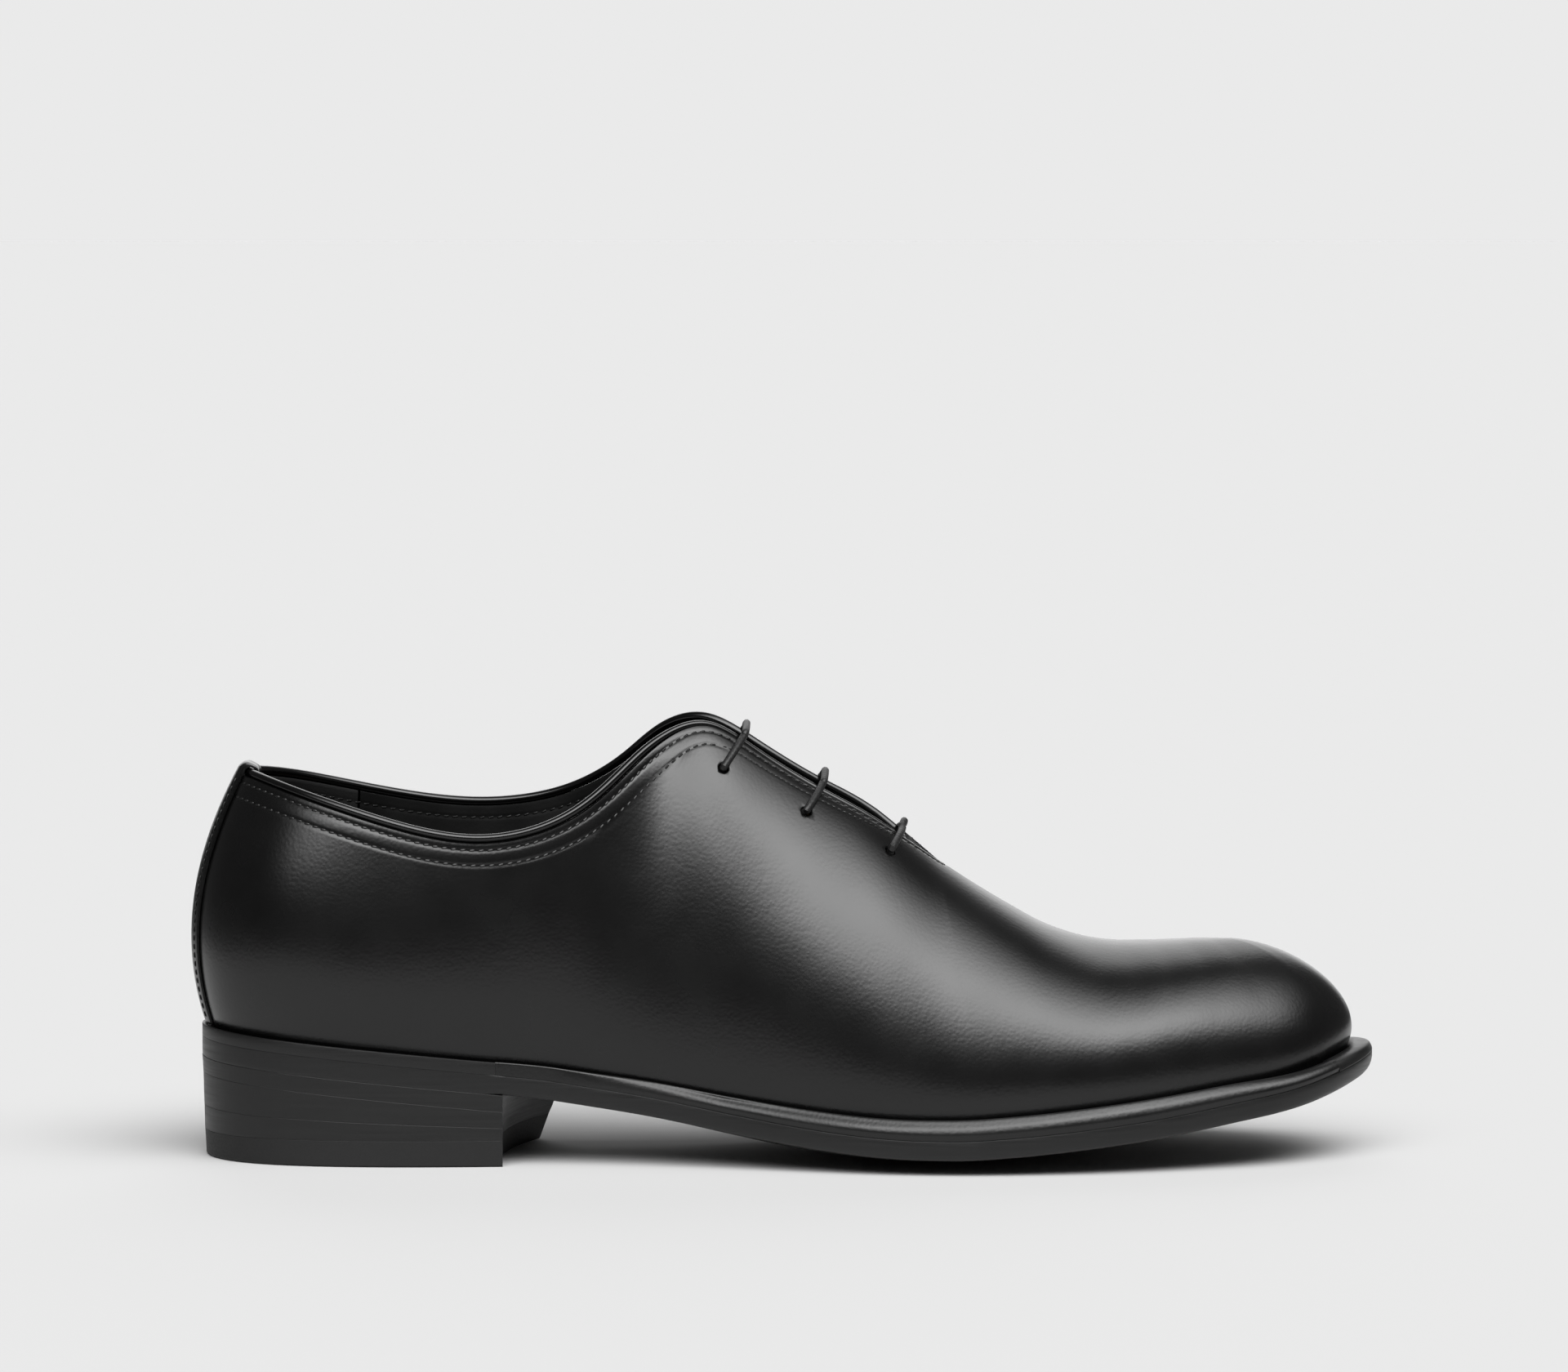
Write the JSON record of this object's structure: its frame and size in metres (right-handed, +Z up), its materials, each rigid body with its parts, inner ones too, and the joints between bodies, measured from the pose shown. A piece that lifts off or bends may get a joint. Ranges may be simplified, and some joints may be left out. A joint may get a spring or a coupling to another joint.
{
  "type": "wholecut oxford shoe",
  "caption": "Black wholecut oxford dress shoe for the right foot: laced one-piece leather upper, piped collar, welted leather sole and stacked heel.",
  "frame": {"origin": "on the ground, at the middle of the shoe's length and width", "axes": "+X towards the toe, +Y towards the inner side of the foot, +Z up"},
  "size_m": [0.3004, 0.0983, 0.1116],
  "materials": {
    "upper_leather": "Black full-grain calf, aniline dyed and burnished, fine pebbled grain, satin sheen",
    "binding_leather": "Black calf skived thin and rolled over a cord, polished",
    "lining_leather": "Dyed lining leather, matt",
    "stiffener": "Leather-board stiffener, raw",
    "backer_cloth": "Woven cotton backing and tape, raw",
    "insole_leather": "Vegetable-tanned insole shoulder, raw",
    "sole_leather": "Vegetable-tanned sole bend, edges sanded, inked black and waxed",
    "welt_leather": "Black welting leather with a rounded, waxed bead",
    "cork": "Cork and latex filler, raw",
    "rubber": "Black moulded rubber, matt",
    "steel": "Plain spring steel and wire nails",
    "brass": "Plain drawn brass",
    "lace_cotton": "Round braided cotton, black, waxed",
    "lace_tip_resin": "Clear-coated black acetate"
  },
  "bodies": {
    "shoe": {"back_strip": "upper_leather", "cork_filler": "cork", "eyelet_back_inner": "brass", "eyelet_back_outer": "brass", "eyelet_front_inner": "brass", "eyelet_front_outer": "brass", "eyelet_middle_inner": "brass", "eyelet_middle_outer": "brass", "facing_stay_inner": "backer_cloth", "facing_stay_outer": "backer_cloth", "heel_counter": "stiffener", "heel_grip_lining": "lining_leather", "heel_lift_1": "sole_leather", "heel_lift_2": "sole_leather", "heel_lift_3": "sole_leather", "heel_nail_1": "steel", "heel_nail_2": "steel", "heel_nail_3": "steel", "heel_nail_4": "steel", "heel_nail_5": "steel", "heel_pad": "lining_leather", "heel_rand": "sole_leather", "heel_top_piece": "rubber", "insole": "insole_leather", "insole_rib": "backer_cloth", "lace": "lace_cotton", "lace_tip_inner": "lace_tip_resin", "lace_tip_outer": "lace_tip_resin", "outsole": "sole_leather", "quarter_lining_inner": "lining_leather", "quarter_lining_outer": "lining_leather", "shank": "steel", "side_backer_inner": "backer_cloth", "side_backer_outer": "backer_cloth", "sock_liner": "lining_leather", "toe_puff": "stiffener", "topline_binding": "binding_leather", "vamp_lining": "lining_leather", "welt": "welt_leather", "wholecut_upper": "upper_leather"},
    "tongue": {"tongue": "upper_leather", "tongue_lining": "lining_leather"}
  },
  "joints": [
    {"name": "tongue_hinge", "type": "hinge", "parent": "shoe", "child": "tongue", "pos_m": [0.04109, -0.00009, 0.0655], "axis": [0, -1, 0], "range_deg": [0, 14], "stiffness_Nm_per_rad": 0.05, "springref_deg": -5.73}
  ]
}
